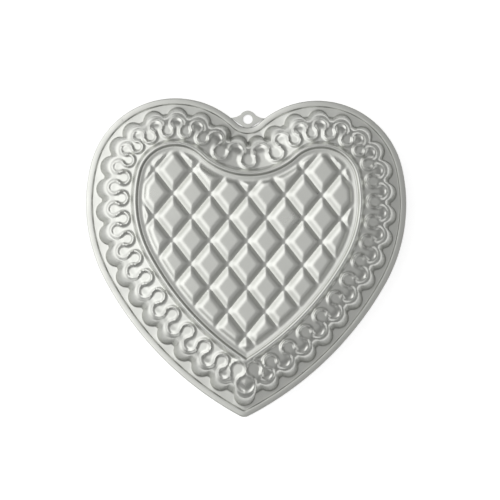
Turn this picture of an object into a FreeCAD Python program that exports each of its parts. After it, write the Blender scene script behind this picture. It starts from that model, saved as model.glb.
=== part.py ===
import FreeCAD, Part
import math
import os

# Heart cake pan, pressed from one sheet, lying mouth down on its rim.
# The origin is under the middle of the pan: +Z is up through the quilted
# top, -Y points to the tip of the heart and +Y to the notch and hanging tab.
# All lengths are in millimetres and all angles in degrees. An inset is a
# distance measured inward from the rim edge, square to it.

# Outline of the rim, one half: a lobe arc, a side arc and a long flank arc.
lobe_x = 64.8
lobe_y = 65.2
lobe_radius = 79.4
side_radius = 148.8
side_start = 13.06
flank_radius = 303.1
flank_start = -29.0
notch_radius = 15.1
tip_radius = 8.6

# Sheet: thickness on flat parts, and the side step between its two faces.
sheet = 1.0
side_step = 0.5

# Folded hem around the rim edge, then the flat flange.
hem_edge_height = 1.5
hem_height = 2.0
hem_crest_inset = 5.2
hem_foot = 6.4
flange_end = 18.0

# Hanging tab at the notch.
hole_y = 126.3
hole_radius = 4.3
tab_radius = 7.9
tab_neck_angle = 33.0
tab_foot_x = 15.5
tab_foot_y = 127.4
tab_root_y = 116.0

# Scalloped wall: insets of the scallop crowns and of the cusps between them.
crown_foot_inset = 8.8
crown_top_inset = 17.0
rib_radius = 9.7
wall_foot_inset = 14.6
wall_top_inset = 21.8
wall_top = 31.0

# Band around the top that climbs gently from the wall to the ring.
band_inset = 17.0
band_height = 29.5
band_end_inset = 41.7
band_end_height = 34.5

# Ring bead around the quilted panel.
ring_crest_inset = 44.4
ring_crest_end_inset = 46.9
ring_height = 40.0
crease_inset = 49.1

# Quilted panel: seams in two directions leave rows of blunt diamonds.
seam_height = 33.0
diamond_height = 40.0
diamond_width = 33.2
diamond_length = 41.6
diamond_flat = 1.6
lattice_y = 13.2
panel_foot_inset = 49.9
panel_top_inset = 52.4

# Loops around the band, counted in half pitches from the notch: odd ones
# bulge outward, one scallop each, and even ones bulge inward. They are paced
# out to where the phase inset meets the middle line at the tip, and the joint
# pitch is the step from the last crown loop to the first side loop.
loop_count = 39
outer_loop_inset = 26.7
phase_inset = 26.2
inner_loop_inset = 33.3
tip_loop_inset = 28.0
tip_step_back = 0.65
crown_loops = 11
crown_line_inset = 22.7
crown_half_pitch = 10.12
side_line_inset = 10.9
joint_pitch = 9.0885

# Ruffle: a raised bead that follows the loops with a few straight runs each.
ruffle_width = 3.4
ruffle_rise = 1.8
ruffle_runs = 4
ruffle_reach = 9.0

# Construction reaches: the swept border laps over a core block inside it.
core_inset = 58.0
border_end_inset = 60.0
root_height = 20.0
below = 5.0
overshoot = 10.0
reach = 200.0


def vec(x, y, z=0.0):
    return FreeCAD.Vector(x, y, z)


def polar(center, radius, degrees):
    a = math.radians(degrees)
    return (center[0] + radius * math.cos(a), center[1] + radius * math.sin(a))


# Centres of the outline arcs, each tangent to the one before it.
lobe_center = (lobe_x, lobe_y)
side_center = polar(lobe_center, lobe_radius - side_radius, side_start)
flank_center = polar(side_center, side_radius - flank_radius, flank_start)

# The notch arc sits on the middle line, tangent to both lobes.
notch_reach = lobe_radius + notch_radius
notch_rise = math.sqrt(notch_reach ** 2 - lobe_x ** 2)
notch_center = (0.0, lobe_y + notch_rise)
notch_end = -math.degrees(math.atan2(notch_rise, lobe_x))
lobe_start = 180.0 + notch_end

# The tip fillet also sits on the middle line, tangent to both flanks.
tip_drop = math.sqrt((flank_radius - tip_radius) ** 2 - flank_center[0] ** 2)
tip_center = (0.0, flank_center[1] - tip_drop)
tip_turn = -math.degrees(math.atan2(tip_drop, -flank_center[0]))


def tip_angle(inset):
    # Angle on the flank arc where an inset outline meets the middle line.
    return -math.degrees(math.acos(-flank_center[0] / (flank_radius - inset)))


def spans(tip_inset):
    # Arcs of one half: centre, radius, start, end, and +1 where it bulges out.
    return [
        (notch_center, notch_radius, -90.0, notch_end, -1),
        (lobe_center, lobe_radius, lobe_start, side_start, 1),
        (side_center, side_radius, side_start, flank_start, 1),
        (flank_center, flank_radius, flank_start, tip_angle(tip_inset), 1),
    ]


def mirrored(points):
    return [vec(-p.x, p.y, p.z) for p in reversed(points)]


def arc_wire(triples):
    return Part.Wire([Part.Arc(*points).toShape() for points in triples])


def core(z0, z1):
    # Block that fills the middle, with a sharp tip.
    right = []
    for center, radius, a0, a1, side in spans(core_inset)[1:]:
        ends = [polar(center, radius - core_inset, a) for a in (a0, (a0 + a1) / 2, a1)]
        right.append([vec(x, y, z0) for x, y in ends])
    left = [mirrored(points) for points in reversed(right)]
    notch_low = vec(0, notch_center[1] - notch_radius - core_inset, z0)
    notch = [left[-1][2], notch_low, right[0][0]]
    return Part.Face(arc_wire(right + left + [notch])).extrude(vec(0, 0, z1 - z0))


def border(section):
    # Solid swept around the heart from a closed section of (inset, height).
    half = None
    for center, radius, a0, a1, side in spans(0.0):
        points = [vec(radius - side * inset, 0, z) for inset, z in section]
        face = Part.Face(Part.makePolygon(points + points[:1]))
        face.rotate(vec(0, 0), vec(0, 0, 1), a0)
        face.translate(vec(*center))
        piece = face.revolve(vec(*center), vec(0, 0, 1), a1 - a0)
        half = piece if half is None else half.fuse(piece)
    room = Part.makeBox(reach, 2 * reach, 2 * reach, vec(0, -reach, -reach))
    half = half.common(room)
    return half.fuse(half.mirror(vec(0, 0), vec(1, 0)))


def span_length(span, inset):
    center, radius, a0, a1, side = span
    return (radius - side * inset) * math.radians(abs(a1 - a0))


station_spans = spans(phase_inset)
side_line_length = sum(span_length(span, side_line_inset) for span in station_spans)


def reached(run, line):
    # Number of the arc, and share of it, that a run from the notch reaches.
    for number, span in enumerate(station_spans):
        length = span_length(span, line)
        if run <= length:
            break
        run -= length
    return number, run / length


# The side loops share out the side line from the last crown loop to the tip.
crown_arc, crown_share = reached(crown_loops * crown_half_pitch, crown_line_inset)
side_spans = station_spans[crown_arc:]
side_room = sum(span_length(span, side_line_inset) for span in side_spans)
side_room -= crown_share * span_length(side_spans[0], side_line_inset)
side_half_pitch = (side_room - joint_pitch) / (loop_count - crown_loops - 1)


def station(k, inset):
    # Point at half pitch k and the given inset: even steps along the crown
    # line from the notch, then even steps along the side line to the tip.
    if k == loop_count:
        return vec(*polar(flank_center, flank_radius - inset, tip_angle(inset)))
    if k > crown_loops:
        run = side_line_length - (loop_count - k) * side_half_pitch
        number, share = reached(run, side_line_inset)
    else:
        number, share = reached(k * crown_half_pitch, crown_line_inset)
    center, radius, a0, a1, side = station_spans[number]
    return vec(*polar(center, radius - side * inset, a0 + (a1 - a0) * share))


def scalloped_wall(inset, drop, bottom):
    # Round ribs that lean inward, one per outward loop, around a plain wall.
    lean = math.atan2(crown_top_inset - crown_foot_inset, wall_top - sheet)
    radius = rib_radius - inset
    length = (ring_height + 3 * overshoot) / math.cos(lean)
    half = []
    for k in range(1, loop_count, 2):
        half.append(rib(k, lean, radius, drop, length))
    ribs = half + [piece.mirror(vec(0, 0), vec(1, 0)) for piece in half]
    ribs.append(rib(loop_count, lean, radius, drop, length))
    top = ring_height + sheet
    slope = (wall_top_inset - wall_foot_inset) / (wall_top - sheet)
    low = wall_foot_inset + inset + slope * (bottom + drop - sheet)
    high = wall_foot_inset + inset + slope * (top + drop - sheet)
    plain = border([
        (low, bottom),
        (high, top),
        (border_end_inset, top),
        (border_end_inset, bottom),
    ])
    return plain.fuse(ribs + [core(bottom, top)])


def rib(k, lean, radius, drop, length):
    # Cylinder whose outermost line starts at the crown foot inset.
    foot = station(k, crown_foot_inset + rib_radius / math.cos(lean))
    inward = station(k, crown_foot_inset + 2 * rib_radius) - foot
    inward.normalize()
    axis = inward * math.sin(lean) + vec(0, 0, math.cos(lean))
    start = foot + vec(0, 0, sheet - drop) - axis * overshoot
    return Part.makeCylinder(radius, length, start, axis)


def loop_center(k):
    # The last two loops are set by the narrow tip.
    if k == loop_count:
        return station(k, tip_loop_inset)
    if k == loop_count - 1:
        return station(k - tip_step_back, inner_loop_inset)
    return station(k, outer_loop_inset if k % 2 else inner_loop_inset)


def arc_center(start, middle, end):
    # Centre of the circle through three points of the plane.
    a, b = middle - start, end - start
    turn = 2 * (a.x * b.y - a.y * b.x)
    aa, bb = a.dot(a), b.dot(b)
    return start + vec((b.y * aa - a.y * bb) / turn, (a.x * bb - b.x * aa) / turn)


def ruffle_side(shift):
    # Outline of the ruffle's middle line moved outward by shift: each loop is
    # an arc between the midpoints to its neighbours, drawn as straight runs.
    centers = [loop_center(k) for k in range(loop_count + 1)]
    chain = [mirrored([centers[1]])[0]] + centers + [mirrored([centers[-2]])[0]]
    right = []
    for k in range(loop_count + 1):
        before, here, after = chain[k:k + 3]
        start, end = (before + here) / 2, (here + after) / 2
        away = here - (before + after) / 2
        radius = ((start - here).Length + (end - here).Length) / 2
        middle = arc_center(start, here + away / away.Length * radius, end)
        reach = (start - middle).Length + (shift if k % 2 else -shift)
        half = (start - middle).getAngle(away)
        for n in range(ruffle_runs):
            turn = half * (1 - (2 * n + 1) / ruffle_runs) * (1 if k % 2 else -1)
            spoke = vec(away.x, away.y)
            spoke.normalize()
            cos, sin = math.cos(turn), math.sin(turn)
            side = vec(spoke.x * cos - spoke.y * sin, spoke.x * sin + spoke.y * cos)
            point = middle + side * reach
            if point.x > 0:
                right.append(point)
    points = right + mirrored(right)
    return Part.Face(Part.makePolygon(points + points[:1]))


def ruffle():
    # The ribbon between the two sides, from within the sheet of the band up.
    ribbon = ruffle_side(ruffle_width / 2).cut(ruffle_side(-ruffle_width / 2))
    prism = ribbon.extrude(vec(0, 0, 2 * ring_height))
    low = outer_loop_inset - ruffle_reach
    high = inner_loop_inset + ruffle_reach
    raised = border([
        (low, band_at(low) - sheet / 2),
        (low, band_at(low) + ruffle_rise),
        (high, band_at(high) + ruffle_rise),
        (high, band_at(high) - sheet / 2),
    ])
    return prism.common(raised)


def band_at(inset):
    slope = (band_end_height - band_height) / (band_end_inset - band_inset)
    return band_height + slope * (inset - band_inset)


def seams(drop):
    # V grooves along both diagonal directions of the diamond lattice.
    lean = math.degrees(math.atan2(diamond_length, diamond_width))
    spacing = diamond_width * math.sin(math.radians(lean))
    top = diamond_height + sheet
    half = (spacing - diamond_flat) / 2 * (top - seam_height) / (diamond_height - seam_height)
    count = math.ceil(reach / spacing)
    corners = [
        vec(-reach, 0, seam_height - drop),
        vec(-reach, half, top - drop),
        vec(-reach, -half, top - drop),
    ]
    groove = Part.Face(Part.makePolygon(corners + corners[:1])).extrude(vec(2 * reach, 0, 0))
    grooves = []
    for turn in (lean, -lean):
        for n in range(-count, count + 1):
            copy = groove.copy()
            copy.translate(vec(0, n * spacing, 0))
            copy.rotate(vec(0, 0), vec(0, 0, 1), turn)
            copy.translate(vec(0, lattice_y, 0))
            grooves.append(copy)
    return grooves


def pressed(inset, drop, bottom):
    # Solid up to one face of the sheet; inset and drop give the inner face.
    top = border([
        (hem_foot, bottom),
        (hem_foot, band_at(hem_foot) - drop),
        (band_end_inset + inset, band_end_height - drop),
        (ring_crest_inset + inset, ring_height - drop),
        (ring_crest_end_inset - inset, ring_height - drop),
        (crease_inset - inset, seam_height - drop),
        (border_end_inset, seam_height - drop),
        (border_end_inset, bottom),
    ])
    form = top.fuse(core(bottom, seam_height - drop))
    form = form.common(scalloped_wall(inset, drop, bottom))
    panel = border([
        (panel_foot_inset + inset, root_height),
        (panel_foot_inset + inset, seam_height - drop),
        (panel_top_inset + inset, diamond_height - drop),
        (border_end_inset, diamond_height - drop),
        (border_end_inset, root_height),
    ])
    quilt = panel.fuse(core(root_height, diamond_height - drop)).cut(seams(drop))
    return form.fuse(quilt)


def flange():
    # Flat sheet around the wall, folded over in a hem along its edge.
    plate = border([
        (0.0, 0.0),
        (0.0, hem_edge_height),
        (hem_crest_inset, hem_height),
        (hem_foot, sheet),
        (flange_end, sheet),
        (flange_end, 0.0),
    ])
    x, y = polar(tip_center, tip_radius, tip_turn)
    corner = Part.makeBox(2 * x, y - tip_center[1] + 2 * tip_radius, hem_height)
    corner.translate(vec(-x, tip_center[1] - 2 * tip_radius, 0))
    return plate.cut(corner.cut(Part.makeCylinder(tip_radius, hem_height, vec(*tip_center))))


def tab():
    # Round tab with concave feet that run out on the rim edge.
    neck = polar((0.0, hole_y), tab_radius, tab_neck_angle)
    foot = vec(tab_foot_x, tab_foot_y)
    bend = vec((foot.x + neck[0]) / 2, tab_foot_y + (neck[1] - tab_foot_y) / 4)
    right = [foot, bend, vec(*neck)]
    head = [right[2], vec(0, hole_y + tab_radius), mirrored(right)[0]]
    root = [vec(-foot.x, foot.y), vec(0, tab_root_y), foot]
    face = Part.Face(arc_wire([right, head, mirrored(right), root]))
    return face.extrude(vec(0, 0, sheet))


outside = pressed(0.0, 0.0, 0.0)
inside = pressed(side_step, sheet, -below)
hole = Part.makeCylinder(hole_radius, 2 * hem_height, vec(0, hole_y, -hem_height / 2))
pan = outside.fuse([flange(), tab()]).cut([inside, hole]).removeSplitter()
pan = pan.fuse(ruffle())

os.makedirs("parts", exist_ok=True)
pan.exportStep("parts/heart_pan.step")
print("faces", len(pan.Faces), "solids", len(pan.Solids), "valid", pan.isValid())
print("volume", round(pan.Volume), "box", pan.BoundBox)
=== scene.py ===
import math

import bpy
import numpy as np
from mathutils import Matrix, Vector, kdtree


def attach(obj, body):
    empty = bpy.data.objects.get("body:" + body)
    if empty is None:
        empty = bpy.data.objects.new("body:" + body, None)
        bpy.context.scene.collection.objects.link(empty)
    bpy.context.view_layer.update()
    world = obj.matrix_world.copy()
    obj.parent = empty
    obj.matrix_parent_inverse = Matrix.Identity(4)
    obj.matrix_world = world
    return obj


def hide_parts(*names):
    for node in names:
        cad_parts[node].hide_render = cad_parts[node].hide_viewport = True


bl_info = {
    "name": "Heart Cake Pan",
    "version": (1, 0, 0),
    "blender": (4, 5, 0),
    "location": "3D View > Sidebar > Heart Pan",
    "description": "Presses a quilted heart cake pan from one sheet and sets up its studio",
    "category": "Object",
}

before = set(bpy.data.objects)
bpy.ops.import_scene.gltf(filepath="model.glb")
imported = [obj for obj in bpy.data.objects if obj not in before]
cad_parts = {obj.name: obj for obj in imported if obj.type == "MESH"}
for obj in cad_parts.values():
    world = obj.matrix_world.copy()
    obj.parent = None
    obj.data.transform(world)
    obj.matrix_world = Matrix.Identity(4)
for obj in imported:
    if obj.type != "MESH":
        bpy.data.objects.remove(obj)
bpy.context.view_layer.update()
MM = 0.001

# Rim outline of the right half as tangent arcs, in millimetres from the
# middle of the pan: notch, lobe, side, flank and tip. An inset is measured
# inward from the rim edge, square to it, and a height up from the table.
LOBE_CENTER = (64.8, 65.2)
LOBE_RADIUS = 79.4
SIDE_RADIUS = 148.8
SIDE_START = 13.06
FLANK_RADIUS = 303.1
FLANK_START = -29.0
NOTCH_RADIUS = 15.1
TIP_RADIUS = 8.6

# Pressed section: the folded edge, the flange that climbs a little towards
# the wall, the scalloped wall with a round rib at each outer loop, the sloping
# band, the ring bead and the crease. Pairs are an inset and a height.
SHEET = 1.0
HEM_FOOT = 6.4
LEDGE_CLIMB = 0.13
CROWN_FOOT_INSET = 8.8
CROWN_TOP_INSET = 17.0
RIB_RADIUS = 9.7
WALL_FOOT_INSET = 14.6
WALL_TOP_INSET = 21.8
WALL_TOP = 31.0
BAND_START = (17.0, 29.5)
BAND_END = (41.7, 34.5)
BAND_SAMPLES = (20.0, 1.0)
# The band bends down to the wall between these insets, and the ruffle bead
# is lower there.
SHOULDER = (29.8, 20.6)
SHOULDER_FALL = 3.2
OUTER_BEAD_SHARE = 0.86
RING_FOOT = 40.8
RING_CREST = 45.8
RING_HEIGHT = 39.95
RING_STEPS = 8
CREASE = [(47.0, 39.3), (47.9, 36.7), (48.6, 37.1)]

# Quilted panel: a narrow margin beside the crease, then flat-topped diamonds
# that run out towards the margin in a bevel.
PANEL_START = 48.9
MARGIN_START = (49.0, 37.0)
MARGIN_END = (54.2, 36.2)
MARGIN_BURIED = (60.0, 34.0)
PANEL_BEVEL = (52.4, 56.6)
SEAM_HEIGHT = 36.2
DIAMOND_HEIGHT = 39.8
DIAMOND_FLAT = 16.4
DIAMOND_WIDTH = 33.2
DIAMOND_LENGTH = 41.6
LATTICE_Y = 13.2

# Loops of the ruffle bead, counted in half pitches from the notch. They are
# spaced along one inset round the crown of the lobe and along another down
# the side.
LOOP_COUNT = 39
OUTER_LOOP_INSET = 26.7
INNER_LOOP_INSET = 33.3
TIP_LOOP_INSET = 28.0
TIP_STEP_BACK = 0.65
PHASE_INSET = 26.2
CROWN_LOOPS = 11
CROWN_LINE_INSET = 22.7
CROWN_HALF_PITCH = 10.12
SIDE_LINE_INSET = 10.9
SIDE_HALF_PITCH = 10.92

# Hanging tab at the notch: round over its hole, then a neck that bends out
# to a foot under the rim.
HOLE_Y = 126.3
HOLE_RADIUS = 4.3
TAB_RADIUS = 7.9
TAB_NECK_ANGLE = 33.0
TAB_BEND = (10.296, 127.7)
TAB_FOOT = (15.5, 127.4)
TAB_ROOT_Y = 117.0
TAB_FOOT_SHARE = 0.45
TAB_POINTS = 64
LIP_SEGMENTS = 2
SHARP_ANGLE = 50.0

# Rows of the pressed mesh from the rim inwards. The inner face of the sheet
# shows less and has fewer rows.
RIM_ROWS = (
    (0.0, 0.2), (0.1, 0.6), (0.4, 1.05), (0.9, 1.4), (1.6, 1.6),
    (3.2, 1.8), (4.8, 1.95), (5.5, 1.8), (6.0, 1.25), (6.5, 1.0),
)
INNER_RIM_ROWS = ((0.25, 0.0), (3.0, 0.0), (6.0, 0.0))
# Heights over the flange at which the wall's foot is found, with steps out
# from the wall and up from the ledge.
FOOT_ROWS = ((1.0, 1.3, 0.0), (1.0, 0.5, 0.2), (2.0, 0.1, 0.9))
WALL_ROWS = (4.0, 8.0, 12.0, 16.0, 20.0)
INNER_WALL_ROWS = (8.0, 15.0, 21.0)
HIGH_WALL_ROW = 23.5
WALL_CREST = 27.0
# Steps in from the wall's crest, and the drop of each below the band.
CREST_ROWS = ((0.1, 1.6), (0.6, 0.6))
CREST_REACH = 1.7
SETTLE_ROWS = 7
INNER_SETTLE_ROWS = 3
BAND_ROWS = (25.0, 38.7, 0.68)
INNER_BAND_ROWS = (25.0, 38.7, 1.35)
RING_ROWS = (
    39.3, 40.1, 40.9, 41.7, 42.5, 43.3, 44.1, 44.9, 45.7, 46.4, 46.9,
    47.3, 47.7, 48.1, 48.5, 48.9, 49.5, 50.2,
)
INNER_RING_ROWS = (40.5, 42.0, 43.6, 45.0, 46.4, 47.4, 48.4, 49.3, 50.2)

# Fineness of the mesh: stations to half a pitch, how much closer they stand
# beside the cusps, diamonds and cells of the panel, and the gap between the
# last row and the panel, which is filled.
STEPS_PER_HALF_PITCH = 10
CROWDING = 0.55
PANEL_DIAMONDS = 10
PANEL_CELLS = 20
PANEL_GAP = 0.5
OPEN_EDGE_REACH = 1.0

# Search for the wall, steps along the section and the bead, the slack of a
# bearing in degrees, the distance in metres at which points are one, and an
# inset for places outside every span.
WALL_SEARCH = (7.0, 27.0)
SEARCH_STEP = 0.1
PROFILE_STEP = 0.02
ARC_POINTS = 48
BEARING_SLACK = 0.01
WELD = 1e-6
FAR = 1e9

# Finish: size of the dull patches, their change of roughness, the depth of the grain, and the
# upward tilt at which a wall counts as steep and takes painted shade.
PATCH_SIZE = 22.0
PATCH_ROUGHNESS = (-0.03, 0.05)
GRAIN_DEPTH = 0.02
STEEP_TILT = (0.25, 0.75)

# Studio: dark at the horizon and grey overhead, with a large softbox on the
# upper left. The floor glows only where the camera or the metal sees it.
FLOOR_SIZE = 6.0
HORIZON_LIGHT = 0.07
ROOM_LIGHT = 0.45
ROOM_RISE = 0.55
SOFTBOX_BEARING = 170.0
SOFTBOX_RISE = 35.0
SOFTBOX_EDGE = 0.4
SOFTBOX_CORE = 0.88
SOFTBOX_LIGHT = 1.1
FLOOR_GLOW = 0.42

# Camera: lens distance, width of the view on the rim plane, the point it
# aims at, how far it leans and its roll.
VIEW_DISTANCE = 1500.0
VIEW_WIDTH = 454.9
VIEW_TARGET = (3.5, 6.9)
VIEW_LEAN = (-0.036, -0.048)
VIEW_ROLL = -0.012
SENSOR_WIDTH = 36.0
CLIP_END = 20.0


def polar(center, radius, degrees):
    """Point at a distance and a bearing from a centre."""
    a = np.radians(degrees)
    return center[0] + radius * np.cos(a), center[1] + radius * np.sin(a)


SIDE_CENTER = polar(LOBE_CENTER, LOBE_RADIUS - SIDE_RADIUS, SIDE_START)
FLANK_CENTER = polar(SIDE_CENTER, SIDE_RADIUS - FLANK_RADIUS, FLANK_START)
NOTCH_RISE = math.sqrt((LOBE_RADIUS + NOTCH_RADIUS) ** 2 - LOBE_CENTER[0] ** 2)
NOTCH_CENTER = (0.0, LOBE_CENTER[1] + NOTCH_RISE)
NOTCH_END = -math.degrees(math.atan2(NOTCH_RISE, LOBE_CENTER[0]))
TIP_DROP = math.sqrt((FLANK_RADIUS - TIP_RADIUS) ** 2 - FLANK_CENTER[0] ** 2)
TIP_CENTER = (0.0, FLANK_CENTER[1] - TIP_DROP)


def tip_angle(inset):
    """Bearing at which the flank meets the middle line, at one inset."""
    return -np.degrees(np.arccos(-FLANK_CENTER[0] / (FLANK_RADIUS - inset)))


SPANS = [
    (NOTCH_CENTER, NOTCH_RADIUS, -90.0, NOTCH_END, -1),
    (LOBE_CENTER, LOBE_RADIUS, 180.0 + NOTCH_END, SIDE_START, 1),
    (SIDE_CENTER, SIDE_RADIUS, SIDE_START, FLANK_START, 1),
    (FLANK_CENTER, FLANK_RADIUS, FLANK_START, float(tip_angle(PHASE_INSET)), 1),
]


def span_length(span, inset):
    """Length of one arc of the outline at an inset."""
    _, radius, a0, a1, side = span
    return (radius - side * inset) * math.radians(abs(a1 - a0))


SIDE_LINE_LENGTH = sum(span_length(span, SIDE_LINE_INSET) for span in SPANS)


def station(k):
    """Span number and fraction along it at half pitch k from the notch."""
    line = CROWN_LINE_INSET
    run = k * CROWN_HALF_PITCH
    if k > CROWN_LOOPS:
        line = SIDE_LINE_INSET
        run = SIDE_LINE_LENGTH - (LOOP_COUNT - k) * SIDE_HALF_PITCH
    for number, span in enumerate(SPANS):
        length = span_length(span, line)
        if run <= length or number == len(SPANS) - 1:
            break
        run -= length
    return number, min(run / length, 1.0)


def place(spot, inset):
    """Point at a station and an inset; the flank ends on the middle line."""
    number, fraction = spot
    center, radius, a0, a1, side = SPANS[number]
    if number == len(SPANS) - 1:
        a1 = tip_angle(inset)
    return np.array(polar(center, radius - side * inset, a0 + (a1 - a0) * fraction))


def fixed_place(k, inset):
    """Point at half pitch k whose bearing doesn't change with the inset."""
    if k == LOOP_COUNT:
        return np.array(polar(FLANK_CENTER, FLANK_RADIUS - inset, tip_angle(inset)))
    number, fraction = station(k)
    center, radius, a0, a1, side = SPANS[number]
    return np.array(polar(center, radius - side * inset, a0 + (a1 - a0) * fraction))


def inset_at(x, y):
    """Inset of points well inside the rim."""
    x = np.abs(x)
    best = np.full(x.shape, FAR)
    for center, radius, a0, a1, side in SPANS:
        dx = x - center[0]
        dy = y - center[1]
        away = np.hypot(dx, dy)
        bearing = np.degrees(np.arctan2(dy, dx))
        low, high = min(a0, a1), max(a0, a1)
        if center is FLANK_CENTER:
            low = -90.0
        inside = (bearing >= low - BEARING_SLACK) & (bearing <= high + BEARING_SLACK)
        inset = side * (radius - away)
        best = np.where(inside, np.minimum(best, inset), best)
    return best


def soft_min(a, b, width):
    """The lower of two heights, rounded where they meet."""
    gap = np.clip(width - np.abs(a - b), 0, None)
    return np.minimum(a, b) - gap ** 2 / (4 * width)


def soft_max(a, b, width):
    """The higher of two heights, rounded where they meet."""
    return -soft_min(-a, -b, width)


def rounded(points, width):
    """Height against inset along straight runs, with the corners rounded."""
    insets, heights = np.array(points).T
    fine = np.arange(insets[0] - 4 * width, insets[-1] + 4 * width, PROFILE_STEP)
    values = np.interp(fine, insets, heights)
    kernel = np.ones(max(1, int(width / PROFILE_STEP)))
    kernel /= kernel.sum()
    values = np.convolve(np.convolve(values, kernel, "same"), kernel, "same")
    kept = slice(2 * len(kernel), -2 * len(kernel))
    return lambda d: np.interp(d, fine[kept], values[kept])


def loop_line():
    """Points along the middle of the ruffle bead, right half."""
    centers = []
    for k in range(LOOP_COUNT + 1):
        inset = OUTER_LOOP_INSET if k % 2 else INNER_LOOP_INSET
        step = k
        if k == LOOP_COUNT:
            inset = TIP_LOOP_INSET
        if k == LOOP_COUNT - 1:
            step = k - TIP_STEP_BACK
        centers.append(fixed_place(step, inset))
    flip = np.array([-1.0, 1.0])
    chain = [centers[1] * flip] + centers + [centers[-2] * flip]
    points = []
    for n in range(1, len(chain) - 1):
        before, here, after = chain[n - 1], chain[n], chain[n + 1]
        start, end = (before + here) / 2, (here + after) / 2
        radius = (np.linalg.norm(start - here) + np.linalg.norm(end - here)) / 2
        away = here - (before + after) / 2
        crown = here + away / np.linalg.norm(away) * radius
        points.extend(arc_points(start, crown, end))
    return np.array(points)


def arc_points(start, middle, end):
    """Points along the circle through three points."""
    ax, ay = middle - start
    bx, by = end - start
    d = 2 * (ax * by - ay * bx)
    aa, bb = ax * ax + ay * ay, bx * bx + by * by
    center = start + np.array([(by * aa - ay * bb) / d, (ax * bb - bx * aa) / d])
    radius = np.linalg.norm(start - center)
    first = math.atan2(*(start - center)[::-1])
    turns = []
    for point in (middle, end):
        turns.append((math.atan2(*(point - center)[::-1]) - first) % (2 * math.pi))
    sweep = turns[1] if turns[0] <= turns[1] else turns[1] - 2 * math.pi
    angles = first + sweep * np.linspace(0, 1, ARC_POINTS, endpoint=False)
    return [center + radius * np.array([math.cos(a), math.sin(a)]) for a in angles]


def distance_to(points, x, y):
    """Distance from every place to the nearest of the points."""
    tree = kdtree.KDTree(len(points))
    for n, (px, py) in enumerate(points):
        tree.insert((px, py, 0.0), n)
    tree.balance()
    found = [tree.find((px, py, 0.0))[2] for px, py in zip(np.abs(x).flat, y.flat)]
    return np.array(found).reshape(x.shape)


def quilt_height(x, y, soft_seam, soft_ridge):
    """Height of the quilted panel: flat-topped diamonds between V seams."""
    lean = math.atan2(DIAMOND_LENGTH, DIAMOND_WIDTH)
    spacing = DIAMOND_WIDTH * math.sin(lean)
    falls = []
    for turn in (lean, -lean):
        across = -math.sin(turn) * x + math.cos(turn) * (y - LATTICE_Y)
        part = np.abs((across / spacing + 0.5) % 1.0 - 0.5) * spacing
        falls.append(np.sqrt(part ** 2 + soft_seam ** 2) - soft_seam)
    bevel = (spacing - DIAMOND_FLAT) / 2 - soft_seam
    low = soft_min(soft_min(falls[0], falls[1], soft_ridge), bevel, soft_ridge)
    return SEAM_HEIGHT + (DIAMOND_HEIGHT - SEAM_HEIGHT) * low / bevel


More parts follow.
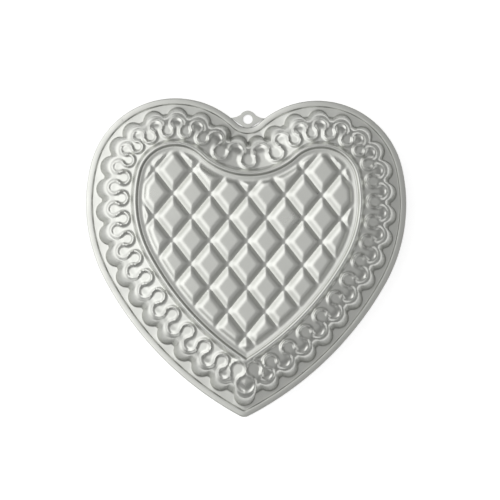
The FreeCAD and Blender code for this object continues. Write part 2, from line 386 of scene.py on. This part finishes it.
class Press:
    """Heights and wall outlines of the pressed sheet, on one of its faces."""

    def __init__(self, sizes, inner):
        self.drop = SHEET if inner else 0.0
        self.step = SHEET / 2 if inner else 0.0
        self.sizes = sizes
        self.line = loop_line()
        corner = sizes.corner_radius / MM
        self.section = rounded(self.ring_line(), corner)
        self.margin = rounded([MARGIN_START, MARGIN_END, MARGIN_BURIED], corner)
        self.lean = math.atan2(CROWN_TOP_INSET - CROWN_FOOT_INSET, WALL_TOP - SHEET)
        self.ribs = self.rib_rows()

    def ring_line(self):
        """Band, then a round ring bead that drops into the crease."""
        foot = self.band_line(RING_FOOT)
        start, step = BAND_SAMPLES
        insets = [HEM_FOOT, *np.arange(start, RING_FOOT, step), RING_FOOT]
        points = [(inset, self.band_line(inset)) for inset in insets]
        for n in range(1, RING_STEPS + 1):
            t = n / RING_STEPS
            rise = 0.5 - 0.5 * math.cos(math.pi * t)
            inset = RING_FOOT + (RING_CREST - RING_FOOT) * t
            points.append((inset, foot + (RING_HEIGHT - foot) * rise))
        return points + CREASE + [MARGIN_START, MARGIN_END]

    def band_line(self, inset):
        """Height of the sloping band with its shoulder."""
        slope = (BAND_END[1] - BAND_START[1]) / (BAND_END[0] - BAND_START[0])
        fall = np.clip((SHOULDER[0] - inset) / (SHOULDER[0] - SHOULDER[1]), 0, 1)
        drop = SHOULDER_FALL * (0.5 - 0.5 * np.cos(np.pi * fall))
        return BAND_START[1] + slope * (inset - BAND_START[0]) - drop

    def rib_rows(self):
        """Foot and inward bearing of each round rib of the wall."""
        rows = []
        for k in range(1, LOOP_COUNT + 1, 2):
            foot = fixed_place(k, CROWN_FOOT_INSET + RIB_RADIUS / math.cos(self.lean))
            inward = fixed_place(k, CROWN_FOOT_INSET + 2 * RIB_RADIUS) - foot
            rows.append((foot, inward / np.linalg.norm(inward)))
        return rows

    def inside(self, x, y, inset, height):
        """Above zero inside the wall at one height."""
        z = height + self.drop
        radius = RIB_RADIUS - self.step
        soft = self.sizes.cusp_softness / MM
        slope = (WALL_TOP_INSET - WALL_FOOT_INSET) / (WALL_TOP - SHEET)
        best = inset - self.step - WALL_FOOT_INSET - slope * (z - SHEET)
        for foot, inward in self.ribs:
            center = foot + inward * math.tan(self.lean) * (z - SHEET)
            dx, dy = x - center[0], y - center[1]
            along = (dx * inward[0] + dy * inward[1]) * math.cos(self.lean)
            across = dx * inward[1] - dy * inward[0]
            best = soft_max(best, radius - np.hypot(along, across), soft)
        return best

    def wall_insets(self, spots, height):
        """Inset of the wall at each station, at one height."""
        near, far = WALL_SEARCH
        tries = np.arange(near, far, SEARCH_STEP)
        # Three points on the line across the sheet give all the others.
        insets = (near, (near + far) / 2, far)
        rows = np.array([[place(spot, inset) for inset in insets] for spot in spots])
        t = (tries - near) / (far - near)
        weights = np.array([2 * (t - 0.5) * (t - 1), -4 * t * (t - 1), 2 * t * (t - 0.5)])
        points = np.einsum("sic,it->stc", rows, weights)
        inset = np.broadcast_to(tries, points.shape[:2])
        values = self.inside(points[..., 0], points[..., 1], inset, height)
        first = np.argmax(values > 0, axis=1)
        first = np.clip(first, 1, None)
        n = np.arange(len(spots))
        v0, v1 = values[n, first - 1], values[n, first]
        return tries[first - 1] + SEARCH_STEP * np.clip(v0 / (v0 - v1), 0, 1)

    def height(self, x, y, inset):
        """Height of the sheet inside the wall."""
        sizes = self.sizes
        away = distance_to(self.line, x, y)
        reach = sizes.ruffle_width / MM / 2 - self.step / 2
        bead = sizes.ruffle_rise / MM * 0.5 * (1 + np.cos(np.pi * np.clip(away / reach, 0, 1)))
        share = np.clip((inset - SHOULDER[1]) / (SHOULDER[0] - SHOULDER[1]), 0, 1)
        bead *= OUTER_BEAD_SHARE + (1 - OUTER_BEAD_SHARE) * share
        offset = np.where(inset < RING_CREST, -self.step, self.step)
        border = self.section(inset + offset) + bead
        quilt = quilt_height(x, y, sizes.seam_softness / MM, sizes.ridge_softness / MM)
        # The diamonds run out in a bevel above the margin next to the crease.
        share = (inset - PANEL_BEVEL[0]) / (PANEL_BEVEL[1] - PANEL_BEVEL[0])
        bevel = SEAM_HEIGHT + (DIAMOND_HEIGHT - SEAM_HEIGHT) * share
        soft = sizes.margin_softness / MM
        margin = self.margin(np.clip(inset, MARGIN_START[0], MARGIN_BURIED[0]))
        panel = soft_max(soft_min(quilt, bevel, soft), margin, soft)
        blend = np.clip(inset - PANEL_START, 0, 1)
        return border * (1 - blend) + panel * blend - self.drop


def stations():
    """Stations round the right half, closer together beside the cusps."""
    spots = []
    steps = STEPS_PER_HALF_PITCH
    for k in range(LOOP_COUNT):
        for n in range(steps):
            t = n / steps
            bend = math.sin(math.pi / 2 * t) if k % 2 else 1 - math.cos(math.pi / 2 * t)
            spots.append(k + (1 - CROWDING) * t + CROWDING * bend)
    spots.append(float(LOOP_COUNT))
    return [station(k) for k in spots]


def rim_place(spot, inset):
    """Point near the rim, where the tip of the heart is rounded."""
    x, y = place(spot, inset)
    radius = TIP_RADIUS - inset
    if radius > 0 and spot[0] == len(SPANS) - 1:
        turn = math.atan2(TIP_DROP, -FLANK_CENTER[0])
        limit_y = TIP_CENTER[1] - radius * math.sin(turn)
        if y < limit_y:
            limit_x = radius * math.cos(turn)
            angle = -math.pi / 2 + (math.pi / 2 - turn) * min(1.0, x / limit_x)
            x, y = radius * math.cos(angle), TIP_CENTER[1] + radius * math.sin(angle)
    return np.array((x, y))


def border_rows(press, inner):
    """Rows of points from the rim edge to the edge of the quilted panel."""
    spots = stations()
    rows = []

    def flat_row(inset, height):
        points = np.array([rim_place(spot, inset) for spot in spots])
        rows.append(np.column_stack([points, np.full(len(points), height)]))

    def wall_row(insets, heights):
        points = np.array([place(spot, d) for spot, d in zip(spots, insets)])
        rows.append(np.column_stack([points, np.broadcast_to(heights, len(points))]))

    def relief_row(insets):
        points = np.array([place(spot, d) for spot, d in zip(spots, insets)])
        heights = press.height(points[:, 0], points[:, 1], insets)
        rows.append(np.column_stack([points, heights]))

    for inset, height in INNER_RIM_ROWS if inner else RIM_ROWS:
        flat_row(inset, height)
    base = SHEET - press.drop
    foot = press.wall_insets(spots, base + FOOT_ROWS[0][0])
    ledge = base + LEDGE_CLIMB * (foot - HEM_FOOT)
    for height, out, up in FOOT_ROWS:
        wall_row(press.wall_insets(spots, base + height) - out, ledge + up)
    high = HIGH_WALL_ROW - press.drop
    for height in (INNER_WALL_ROWS if inner else WALL_ROWS) + (high,):
        wall_row(press.wall_insets(spots, height), height)
    top = press.wall_insets(spots, WALL_CREST - press.drop)
    for step, fall in CREST_ROWS:
        wall_row(top + step, press.band_line(top) - press.drop - fall)
    first, last, step = INNER_BAND_ROWS if inner else BAND_ROWS
    for t in np.linspace(0, 1, 1 + (INNER_SETTLE_ROWS if inner else SETTLE_ROWS)):
        relief_row((top + CREST_REACH) * (1 - t) + first * t)
    rest = INNER_RING_ROWS if inner else RING_ROWS
    for inset in (*np.arange(first + step, last, step), *rest):
        relief_row(np.full(len(spots), inset))
    return np.array(rows)


def whole_heart(rows):
    """Adds the left half to rows of the right half, as closed rings."""
    left = rows[:, -2:0:-1].copy()
    left[..., 0] *= -1
    return np.concatenate([rows, left], axis=1)


def only(*objects):
    """Leaves only these objects selected, the first of them active."""
    bpy.ops.object.select_all(action="DESELECT")
    for item in objects:
        item.select_set(True)
    bpy.context.view_layer.objects.active = objects[0]


def coordinates(item):
    """Places of the vertices of a mesh, in metres."""
    flat = np.empty(len(item.data.vertices) * 3)
    item.data.vertices.foreach_get("co", flat)
    return flat.reshape(-1, 3)


def rolled_border(name, rings):
    """Grid whose rows are the closed rings, joined end to end."""
    count, around = rings.shape[:2]
    bpy.ops.object.select_all(action="DESELECT")
    bpy.ops.mesh.primitive_grid_add(x_subdivisions=around, y_subdivisions=count - 1, size=2.0)
    border = bpy.context.object
    border.name = name
    flat = coordinates(border)
    column = np.rint((flat[:, 0] + 1.0) / 2.0 * around).astype(int) % around
    row = np.rint((flat[:, 1] + 1.0) / 2.0 * (count - 1)).astype(int)
    border.data.vertices.foreach_set("co", (rings[row, column] * MM).ravel())
    border.data.update()
    only(border)
    bpy.ops.object.mode_set(mode="EDIT")
    bpy.ops.mesh.select_all(action="SELECT")
    bpy.ops.mesh.remove_doubles(threshold=WELD)
    bpy.ops.object.mode_set(mode="OBJECT")
    return border


def quilt_blank(name, cells):
    """Diamond grid over the panel, cut back to just inside its edge."""
    count = PANEL_DIAMONDS * cells
    bpy.ops.object.select_all(action="DESELECT")
    bpy.ops.mesh.primitive_grid_add(x_subdivisions=count, y_subdivisions=count, size=2.0)
    blank = bpy.context.object
    blank.name = name
    u, v = coordinates(blank).T[:2] * PANEL_DIAMONDS / 2
    x = (u - v) * DIAMOND_WIDTH / 2
    y = (u + v) * DIAMOND_LENGTH / 2 + LATTICE_Y
    blank.data.vertices.foreach_set("co", np.column_stack([x, y, np.zeros(len(x))]).ravel() * MM)
    blank.data.update()
    inset = inset_at(x, y)
    keep = (inset > RING_ROWS[-1] + PANEL_GAP) & (inset < FAR)
    only(blank)
    bpy.ops.object.mode_set(mode="EDIT")
    bpy.ops.mesh.select_mode(type="VERT")
    bpy.ops.mesh.select_all(action="DESELECT")
    bpy.ops.object.mode_set(mode="OBJECT")
    blank.data.vertices.foreach_set("select", ~keep)
    bpy.ops.object.mode_set(mode="EDIT")
    bpy.ops.mesh.delete(type="VERT")
    bpy.ops.mesh.select_all(action="SELECT")
    bpy.ops.mesh.delete_loose(use_verts=True, use_edges=True, use_faces=False)
    bpy.ops.object.mode_set(mode="OBJECT")
    return blank


def select_open_edges(item, least_inset=-FAR):
    """Selects the open edges whose middle lies deeper than an inset."""
    only(item)
    bpy.ops.object.mode_set(mode="EDIT")
    bpy.ops.mesh.select_mode(type="EDGE")
    bpy.ops.mesh.select_all(action="DESELECT")
    bpy.ops.mesh.select_non_manifold(
        extend=False, use_wire=False, use_boundary=True, use_multi_face=False,
        use_non_contiguous=False, use_verts=False)
    bpy.ops.object.mode_set(mode="OBJECT")
    edges = item.data.edges
    ends = np.empty(len(edges) * 2, dtype=int)
    edges.foreach_get("vertices", ends)
    middle = coordinates(item)[ends.reshape(-1, 2)].mean(axis=1) / MM
    picked = np.empty(len(edges), dtype=bool)
    edges.foreach_get("select", picked)
    picked &= inset_at(middle[:, 0], middle[:, 1]) > least_inset
    edges.foreach_set("select", picked)
    bpy.ops.object.mode_set(mode="EDIT")


def pressed_skin(name, press, cells, inner):
    """One face of the sheet: the rolled border with its quilted panel."""
    skin = rolled_border(name, whole_heart(border_rows(press, inner)))
    blank = quilt_blank(name + "_quilt", cells)
    only(skin, blank)
    bpy.ops.object.join()
    select_open_edges(skin, RING_ROWS[-1] - OPEN_EDGE_REACH)
    bpy.ops.mesh.fill(use_beauty=True)
    bpy.ops.object.mode_set(mode="OBJECT")
    points = coordinates(skin) / MM
    inset = inset_at(points[:, 0], points[:, 1])
    panel = inset > RING_ROWS[-1] + PANEL_GAP / 2
    points[panel, 2] = press.height(points[panel, 0], points[panel, 1], inset[panel])
    skin.data.vertices.foreach_set("co", (points * MM).ravel())
    skin.data.update()
    return skin


def recalculate(item):
    """Turns every face of a closed mesh outwards."""
    only(item)
    bpy.ops.object.mode_set(mode="EDIT")
    bpy.ops.mesh.select_all(action="SELECT")
    bpy.ops.mesh.normals_make_consistent(inside=False)
    bpy.ops.mesh.select_all(action="DESELECT")
    bpy.ops.object.mode_set(mode="OBJECT")


def add_node(tree, kind, settings=None, links=None):
    """Adds one node with its settings and the links into it."""
    node = tree.nodes.new(kind)
    for name, value in (settings or {}).items():
        if isinstance(name, str) and hasattr(node, name):
            setattr(node, name, value)
        else:
            node.inputs[name].default_value = value
    for name, source in (links or {}).items():
        tree.links.new(source, node.inputs[name])
    return node


def linear(code):
    """Linear colour of an sRGB hex code."""
    parts = [int(code[n:n + 2], 16) / 255 for n in (1, 3, 5)]
    parts = [c / 12.92 if c <= 0.04045 else ((c + 0.055) / 1.055) ** 2.4 for c in parts]
    return (*parts, 1.0)


class HeartPanSizes(bpy.types.PropertyGroup):
    ruffle_width: bpy.props.FloatProperty(
        name="Ruffle width", description="Width of the wavy bead round the band",
        default=4.8 * MM, min=2.0 * MM, max=8.0 * MM, unit="LENGTH")
    ruffle_rise: bpy.props.FloatProperty(
        name="Ruffle rise", description="Height of the wavy bead above the band",
        default=2.0 * MM, min=0.5 * MM, max=4.0 * MM, unit="LENGTH")
    corner_radius: bpy.props.FloatProperty(
        name="Corner radius", description="Rounding where the sheet is bent",
        default=0.8 * MM, min=0.2 * MM, max=3.0 * MM, unit="LENGTH")
    cusp_softness: bpy.props.FloatProperty(
        name="Cusp softness", description="Rounding where two scallops meet",
        default=0.8 * MM, min=0.1 * MM, max=3.0 * MM, unit="LENGTH")
    seam_softness: bpy.props.FloatProperty(
        name="Seam softness", description="Rounding in the bottom of the quilt seams",
        default=0.7 * MM, min=0.1 * MM, max=3.0 * MM, unit="LENGTH")
    ridge_softness: bpy.props.FloatProperty(
        name="Ridge softness", description="Rounding along the ridges of the diamonds",
        default=1.8 * MM, min=0.2 * MM, max=5.0 * MM, unit="LENGTH")
    margin_softness: bpy.props.FloatProperty(
        name="Margin softness", description="Rounding where diamonds meet the panel's margin",
        default=0.9 * MM, min=0.1 * MM, max=3.0 * MM, unit="LENGTH")
    hole_lip: bpy.props.FloatProperty(
        name="Hole lip", description="Rounding of the edges of the hanging tab",
        default=0.2 * MM, min=0.05 * MM, max=0.45 * MM, unit="LENGTH")


class HeartPanFinish(bpy.types.PropertyGroup):
    metal: bpy.props.StringProperty(
        name="Metal", description="Colour of the clean aluminium", default="#DBDCD7")
    dull_metal: bpy.props.StringProperty(
        name="Dull metal", description="Colour where the sheet has dulled", default="#CACBC6")
    # Painted shade: a darker grey laid on the steep walls, standing for the shade they fall
    # into.
    painted_shade_grey: bpy.props.StringProperty(
        name="Drawn metal", description="Colour of the steep drawn walls", default="#BABBB7")
    floor: bpy.props.StringProperty(
        name="Floor", description="Colour of the studio floor", default="#F2F2F2")
    grain: bpy.props.FloatProperty(
        name="Grain", description="Spacing of the rolling grain",
        default=0.8 * MM, min=0.1 * MM, max=5.0 * MM, unit="LENGTH")
    roughness: bpy.props.FloatProperty(
        name="Roughness", description="Roughness of the satin surface",
        default=0.3, min=0.05, max=0.8)
    drawn_roughness: bpy.props.FloatProperty(
        name="Drawn roughness", description="Extra roughness of the steep drawn walls",
        default=0.15, min=0.0, max=0.5)


class HEARTPAN_OT_press_sheet(bpy.types.Operator):
    """Press the pan from one sheet: border rings first, then the quilted panel"""
    bl_idname = "heartpan.press_sheet"
    bl_label = "Press the Sheet"

    def execute(self, context):
        sizes = context.scene.heart_pan_sizes
        top = pressed_skin("heart_pan_sheet", Press(sizes, False), PANEL_CELLS, False)
        under = pressed_skin("heart_pan_inside", Press(sizes, True), PANEL_CELLS // 2, True)
        only(top, under)
        bpy.ops.object.join()
        select_open_edges(top)
        bpy.ops.mesh.bridge_edge_loops()
        bpy.ops.object.mode_set(mode="OBJECT")
        recalculate(top)
        top.data.shade_smooth()
        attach(top, "root")
        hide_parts("heart_pan")
        return {"FINISHED"}


class HEARTPAN_OT_hang_tab(bpy.types.Operator):
    """Cut the hanging tab with its hole and round its edges"""
    bl_idname = "heartpan.hang_tab"
    bl_label = "Cut the Hanging Tab"

    def execute(self, context):
        sizes = context.scene.heart_pan_sizes
        bpy.ops.object.select_all(action="DESELECT")
        bpy.ops.mesh.primitive_circle_add(
            vertices=TAB_POINTS, radius=HOLE_RADIUS * MM, location=(0, HOLE_Y * MM, 0))
        tab = context.object
        tab.name = "heart_pan_tab"
        bpy.ops.object.transform_apply(location=True, rotation=False, scale=False)
        bpy.ops.object.mode_set(mode="EDIT")
        bpy.ops.mesh.select_all(action="SELECT")
        bpy.ops.mesh.extrude_region_move()
        bpy.ops.object.mode_set(mode="OBJECT")
        picked = np.empty(len(tab.data.vertices), dtype=bool)
        tab.data.vertices.foreach_get("select", picked)
        points = coordinates(tab)
        angles = np.arctan2(points[picked, 1] - HOLE_Y * MM, points[picked, 0])
        points[picked, :2] = np.array([tab_edge(a) for a in angles]) * MM
        tab.data.vertices.foreach_set("co", points.ravel())
        tab.data.update()
        bpy.ops.object.mode_set(mode="EDIT")
        bpy.ops.mesh.select_all(action="SELECT")
        bpy.ops.mesh.extrude_region_move(
            TRANSFORM_OT_translate={"value": (0, 0, SHEET * MM)})
        bpy.ops.object.mode_set(mode="OBJECT")
        recalculate(tab)
        rounding = tab.modifiers.new("edge_rounding", "BEVEL")
        rounding.width = sizes.hole_lip
        rounding.segments = LIP_SEGMENTS
        rounding.limit_method = "ANGLE"
        only(tab)
        bpy.ops.object.modifier_apply(modifier=rounding.name)
        sheet = bpy.data.objects["heart_pan_sheet"]
        only(sheet, tab)
        bpy.ops.object.join()
        sheet.data.shade_smooth()
        bpy.ops.object.shade_smooth_by_angle(angle=math.radians(SHARP_ANGLE))
        weights = sheet.modifiers.new("even_normals", "WEIGHTED_NORMAL")
        weights.mode = "FACE_AREA"
        weights.keep_sharp = True
        bpy.ops.object.modifier_apply(modifier=weights.name)
        return {"FINISHED"}


def tab_edge(angle):
    """Edge of the tab in the direction of an angle round its hole."""
    direction = np.array([math.cos(angle), math.sin(angle)])
    neck = math.radians(TAB_NECK_ANGLE)
    hole = np.array([0.0, HOLE_Y])
    if neck <= angle <= math.pi - neck:
        return hole + TAB_RADIUS * direction
    sign = 1.0 if abs(angle) < math.pi / 2 else -1.0
    start = hole + TAB_RADIUS * np.array([sign * math.cos(neck), math.sin(neck)])
    foot = np.array([sign * TAB_FOOT[0], TAB_FOOT[1]])
    drop = np.array([0.0, TAB_ROOT_Y])
    turn = angle if sign > 0 else (math.pi - angle if angle > 0 else -math.pi - angle)
    low = -math.pi / 2
    t = (neck - turn) / (neck - low)
    if t < TAB_FOOT_SHARE:
        part = t / TAB_FOOT_SHARE
        bend = np.array([sign * TAB_BEND[0], TAB_BEND[1]])
        return (1 - part) ** 2 * start + 2 * part * (1 - part) * bend + part ** 2 * foot
    part = (t - TAB_FOOT_SHARE) / (1 - TAB_FOOT_SHARE)
    return foot * (1 - part) + drop * part


class HEARTPAN_OT_satin_aluminium(bpy.types.Operator):
    """Give the pan its satin aluminium with rolling grain and dull patches"""
    bl_idname = "heartpan.satin_aluminium"
    bl_label = "Satin Aluminium"

    def execute(self, context):
        finish = context.scene.heart_pan_finish
        # Rolled aluminium sheet, pressed and left bare: a pale grey metal with a satin surface,
        # fine grain and slightly duller patches from use.
        # The steep walls also get painted shade, a darker grey.
        material = bpy.data.materials.new("satin_rolled_aluminium")
        material.use_nodes = True
        tree = material.node_tree
        tree.nodes.clear()
        spot = add_node(tree, "ShaderNodeTexCoord").outputs["Object"]
        patches = add_node(
            tree, "ShaderNodeTexNoise",
            {"Scale": 1 / (PATCH_SIZE * MM), "Detail": 3.0, "Roughness": 0.55}, {"Vector": spot})
        grain = add_node(
            tree, "ShaderNodeTexNoise", {"Scale": 1 / finish.grain, "Detail": 2.0},
            {"Vector": spot})
        tint = add_node(
            tree, "ShaderNodeMix",
            {"data_type": "RGBA", 6: linear(finish.metal), 7: linear(finish.dull_metal)},
            {"Factor": patches.outputs["Fac"]})
        # Painted shade: the steep walls are given a darker grey that stands for the shade they
        # fall into, and they are made rougher.
        facing = add_node(
            tree, "ShaderNodeSeparateXYZ", None,
            {"Vector": add_node(tree, "ShaderNodeTexCoord").outputs["Normal"]})
        steep = add_node(
            tree, "ShaderNodeMapRange",
            {"From Min": STEEP_TILT[0], "From Max": STEEP_TILT[1], "To Min": 1.0, "To Max": 0.0},
            {"Value": facing.outputs["Z"]})
        shaded = add_node(
            tree, "ShaderNodeMix", {"data_type": "RGBA", 7: linear(finish.painted_shade_grey)},
            {"Factor": steep.outputs["Result"], 6: tint.outputs[2]})
        rough = add_node(
            tree, "ShaderNodeMapRange",
            {"From Min": 0.3, "From Max": 0.7, "To Min": finish.roughness + PATCH_ROUGHNESS[0],
             "To Max": finish.roughness + PATCH_ROUGHNESS[1]}, {"Value": patches.outputs["Fac"]})
        matt = add_node(
            tree, "ShaderNodeMath", {"operation": "MULTIPLY_ADD", 1: finish.drawn_roughness},
            {0: steep.outputs["Result"], 2: rough.outputs["Result"]})
        bump = add_node(
            tree, "ShaderNodeBump", {"Strength": 0.25, "Distance": GRAIN_DEPTH * MM},
            {"Height": grain.outputs["Fac"]})
        shader = add_node(
            tree, "ShaderNodeBsdfPrincipled", {"Metallic": 1.0},
            {"Base Color": shaded.outputs[2], "Roughness": matt.outputs["Value"],
             "Normal": bump.outputs["Normal"]})
        add_node(tree, "ShaderNodeOutputMaterial", None, {"Surface": shader.outputs["BSDF"]})
        sheet = bpy.data.objects["heart_pan_sheet"]
        sheet.data.materials.clear()
        sheet.data.materials.append(material)
        return {"FINISHED"}


class HEARTPAN_OT_studio(bpy.types.Operator):
    """Lay the floor, set the soft light and aim the camera"""
    bl_idname = "heartpan.studio"
    bl_label = "Set Up the Studio"

    def execute(self, context):
        finish = context.scene.heart_pan_finish
        bpy.ops.object.select_all(action="DESELECT")
        bpy.ops.mesh.primitive_plane_add(size=FLOOR_SIZE)
        floor = context.object
        floor.name = "studio_floor"
        material = bpy.data.materials.new("pale_paper_floor")
        material.use_nodes = True
        tree = material.node_tree
        tree.nodes.clear()
        rays = add_node(tree, "ShaderNodeLightPath").outputs
        mirrored = add_node(
            tree, "ShaderNodeMath", {"operation": "MAXIMUM"},
            {0: rays["Is Glossy Ray"], 1: rays["Is Transmission Ray"]})
        seen = add_node(
            tree, "ShaderNodeMath", {"operation": "MAXIMUM"},
            {0: rays["Is Camera Ray"], 1: mirrored.outputs["Value"]})
        glow = add_node(
            tree, "ShaderNodeMath", {"operation": "MULTIPLY", 1: FLOOR_GLOW},
            {0: seen.outputs["Value"]})
        paper = add_node(tree, "ShaderNodeBsdfDiffuse", {"Color": linear(finish.floor)})
        white = add_node(
            tree, "ShaderNodeEmission", {"Color": (1, 1, 1, 1)},
            {"Strength": glow.outputs["Value"]})
        mixed = add_node(
            tree, "ShaderNodeAddShader", None,
            {0: paper.outputs["BSDF"], 1: white.outputs["Emission"]})
        add_node(tree, "ShaderNodeOutputMaterial", None, {"Surface": mixed.outputs["Shader"]})
        floor.data.materials.append(material)
        self.sky(context)
        self.camera(context)
        return {"FINISHED"}

    def sky(self, context):
        """Grey studio round the pan, bright on the upper left."""
        world = bpy.data.worlds.new("studio_sky")
        context.scene.world = world
        world.use_nodes = True
        tree = world.node_tree
        tree.nodes.clear()
        unit = add_node(
            tree, "ShaderNodeVectorMath", {"operation": "NORMALIZE"},
            {0: add_node(tree, "ShaderNodeTexCoord").outputs["Generated"]})
        parts = add_node(tree, "ShaderNodeSeparateXYZ", None, {"Vector": unit.outputs["Vector"]})
        height = add_node(
            tree, "ShaderNodeMapRange",
            {"From Min": 0.0, "From Max": ROOM_RISE, "To Min": HORIZON_LIGHT,
             "To Max": ROOM_LIGHT}, {"Value": parts.outputs["Z"]})
        bearing, rise = math.radians(SOFTBOX_BEARING), math.radians(SOFTBOX_RISE)
        flat = math.cos(rise)
        aim = (math.cos(bearing) * flat, math.sin(bearing) * flat, math.sin(rise))
        toward = add_node(
            tree, "ShaderNodeVectorMath", {"operation": "DOT_PRODUCT", 1: aim},
            {0: unit.outputs["Vector"]})
        box = add_node(
            tree, "ShaderNodeMapRange",
            {"interpolation_type": "SMOOTHSTEP", "From Min": SOFTBOX_EDGE,
             "From Max": SOFTBOX_CORE, "To Min": 0.0, "To Max": SOFTBOX_LIGHT},
            {"Value": toward.outputs["Value"]})
        total = add_node(
            tree, "ShaderNodeMath", {"operation": "ADD"},
            {0: height.outputs["Result"], 1: box.outputs["Result"]})
        light = add_node(
            tree, "ShaderNodeBackground", {"Color": (1, 1, 1, 1)},
            {"Strength": total.outputs["Value"]})
        add_node(tree, "ShaderNodeOutputWorld", None, {"Surface": light.outputs["Background"]})

    def camera(self, context):
        """Camera nearly overhead, a little to the left and below the middle."""
        view = Vector((VIEW_LEAN[0], VIEW_LEAN[1], 1.0)).normalized()
        target = Vector((VIEW_TARGET[0] * MM, VIEW_TARGET[1] * MM, 0.0))
        bpy.ops.object.camera_add()
        camera = context.object
        camera.location = target + view * (VIEW_DISTANCE * MM)
        up = Vector((math.sin(VIEW_ROLL), math.cos(VIEW_ROLL), 0.0))
        right = up.cross(view).normalized()
        turn = Matrix((right, view.cross(right), view)).transposed()
        camera.rotation_euler = turn.to_euler()
        camera.data.sensor_width = SENSOR_WIDTH
        camera.data.lens = SENSOR_WIDTH * VIEW_DISTANCE / VIEW_WIDTH
        camera.data.clip_end = CLIP_END
        context.scene.camera = camera
        context.scene.view_settings.view_transform = "Standard"


class HEARTPAN_PT_panel(bpy.types.Panel):
    """Steps that press, finish and light the pan"""
    bl_label = "Heart Cake Pan"
    bl_idname = "HEARTPAN_PT_panel"
    bl_space_type = "VIEW_3D"
    bl_region_type = "UI"
    bl_category = "Heart Pan"

    def draw(self, context):
        layout = self.layout
        for group in (context.scene.heart_pan_sizes, context.scene.heart_pan_finish):
            for name in group.__annotations__:
                layout.prop(group, name)
        for step in STEPS:
            layout.operator(step.bl_idname)


STEPS = (
    HEARTPAN_OT_press_sheet,
    HEARTPAN_OT_hang_tab,
    HEARTPAN_OT_satin_aluminium,
    HEARTPAN_OT_studio,
)
CLASSES = (HeartPanSizes, HeartPanFinish) + STEPS + (HEARTPAN_PT_panel,)


def register():
    for item in CLASSES:
        bpy.utils.register_class(item)
    bpy.types.Scene.heart_pan_sizes = bpy.props.PointerProperty(type=HeartPanSizes)
    bpy.types.Scene.heart_pan_finish = bpy.props.PointerProperty(type=HeartPanFinish)


def unregister():
    del bpy.types.Scene.heart_pan_finish
    del bpy.types.Scene.heart_pan_sizes
    for item in reversed(CLASSES):
        bpy.utils.unregister_class(item)


def main():
    register()
    bpy.ops.heartpan.press_sheet()
    bpy.ops.heartpan.hang_tab()
    bpy.ops.heartpan.satin_aluminium()
    bpy.ops.heartpan.studio()


if __name__ == "__main__":
    main()
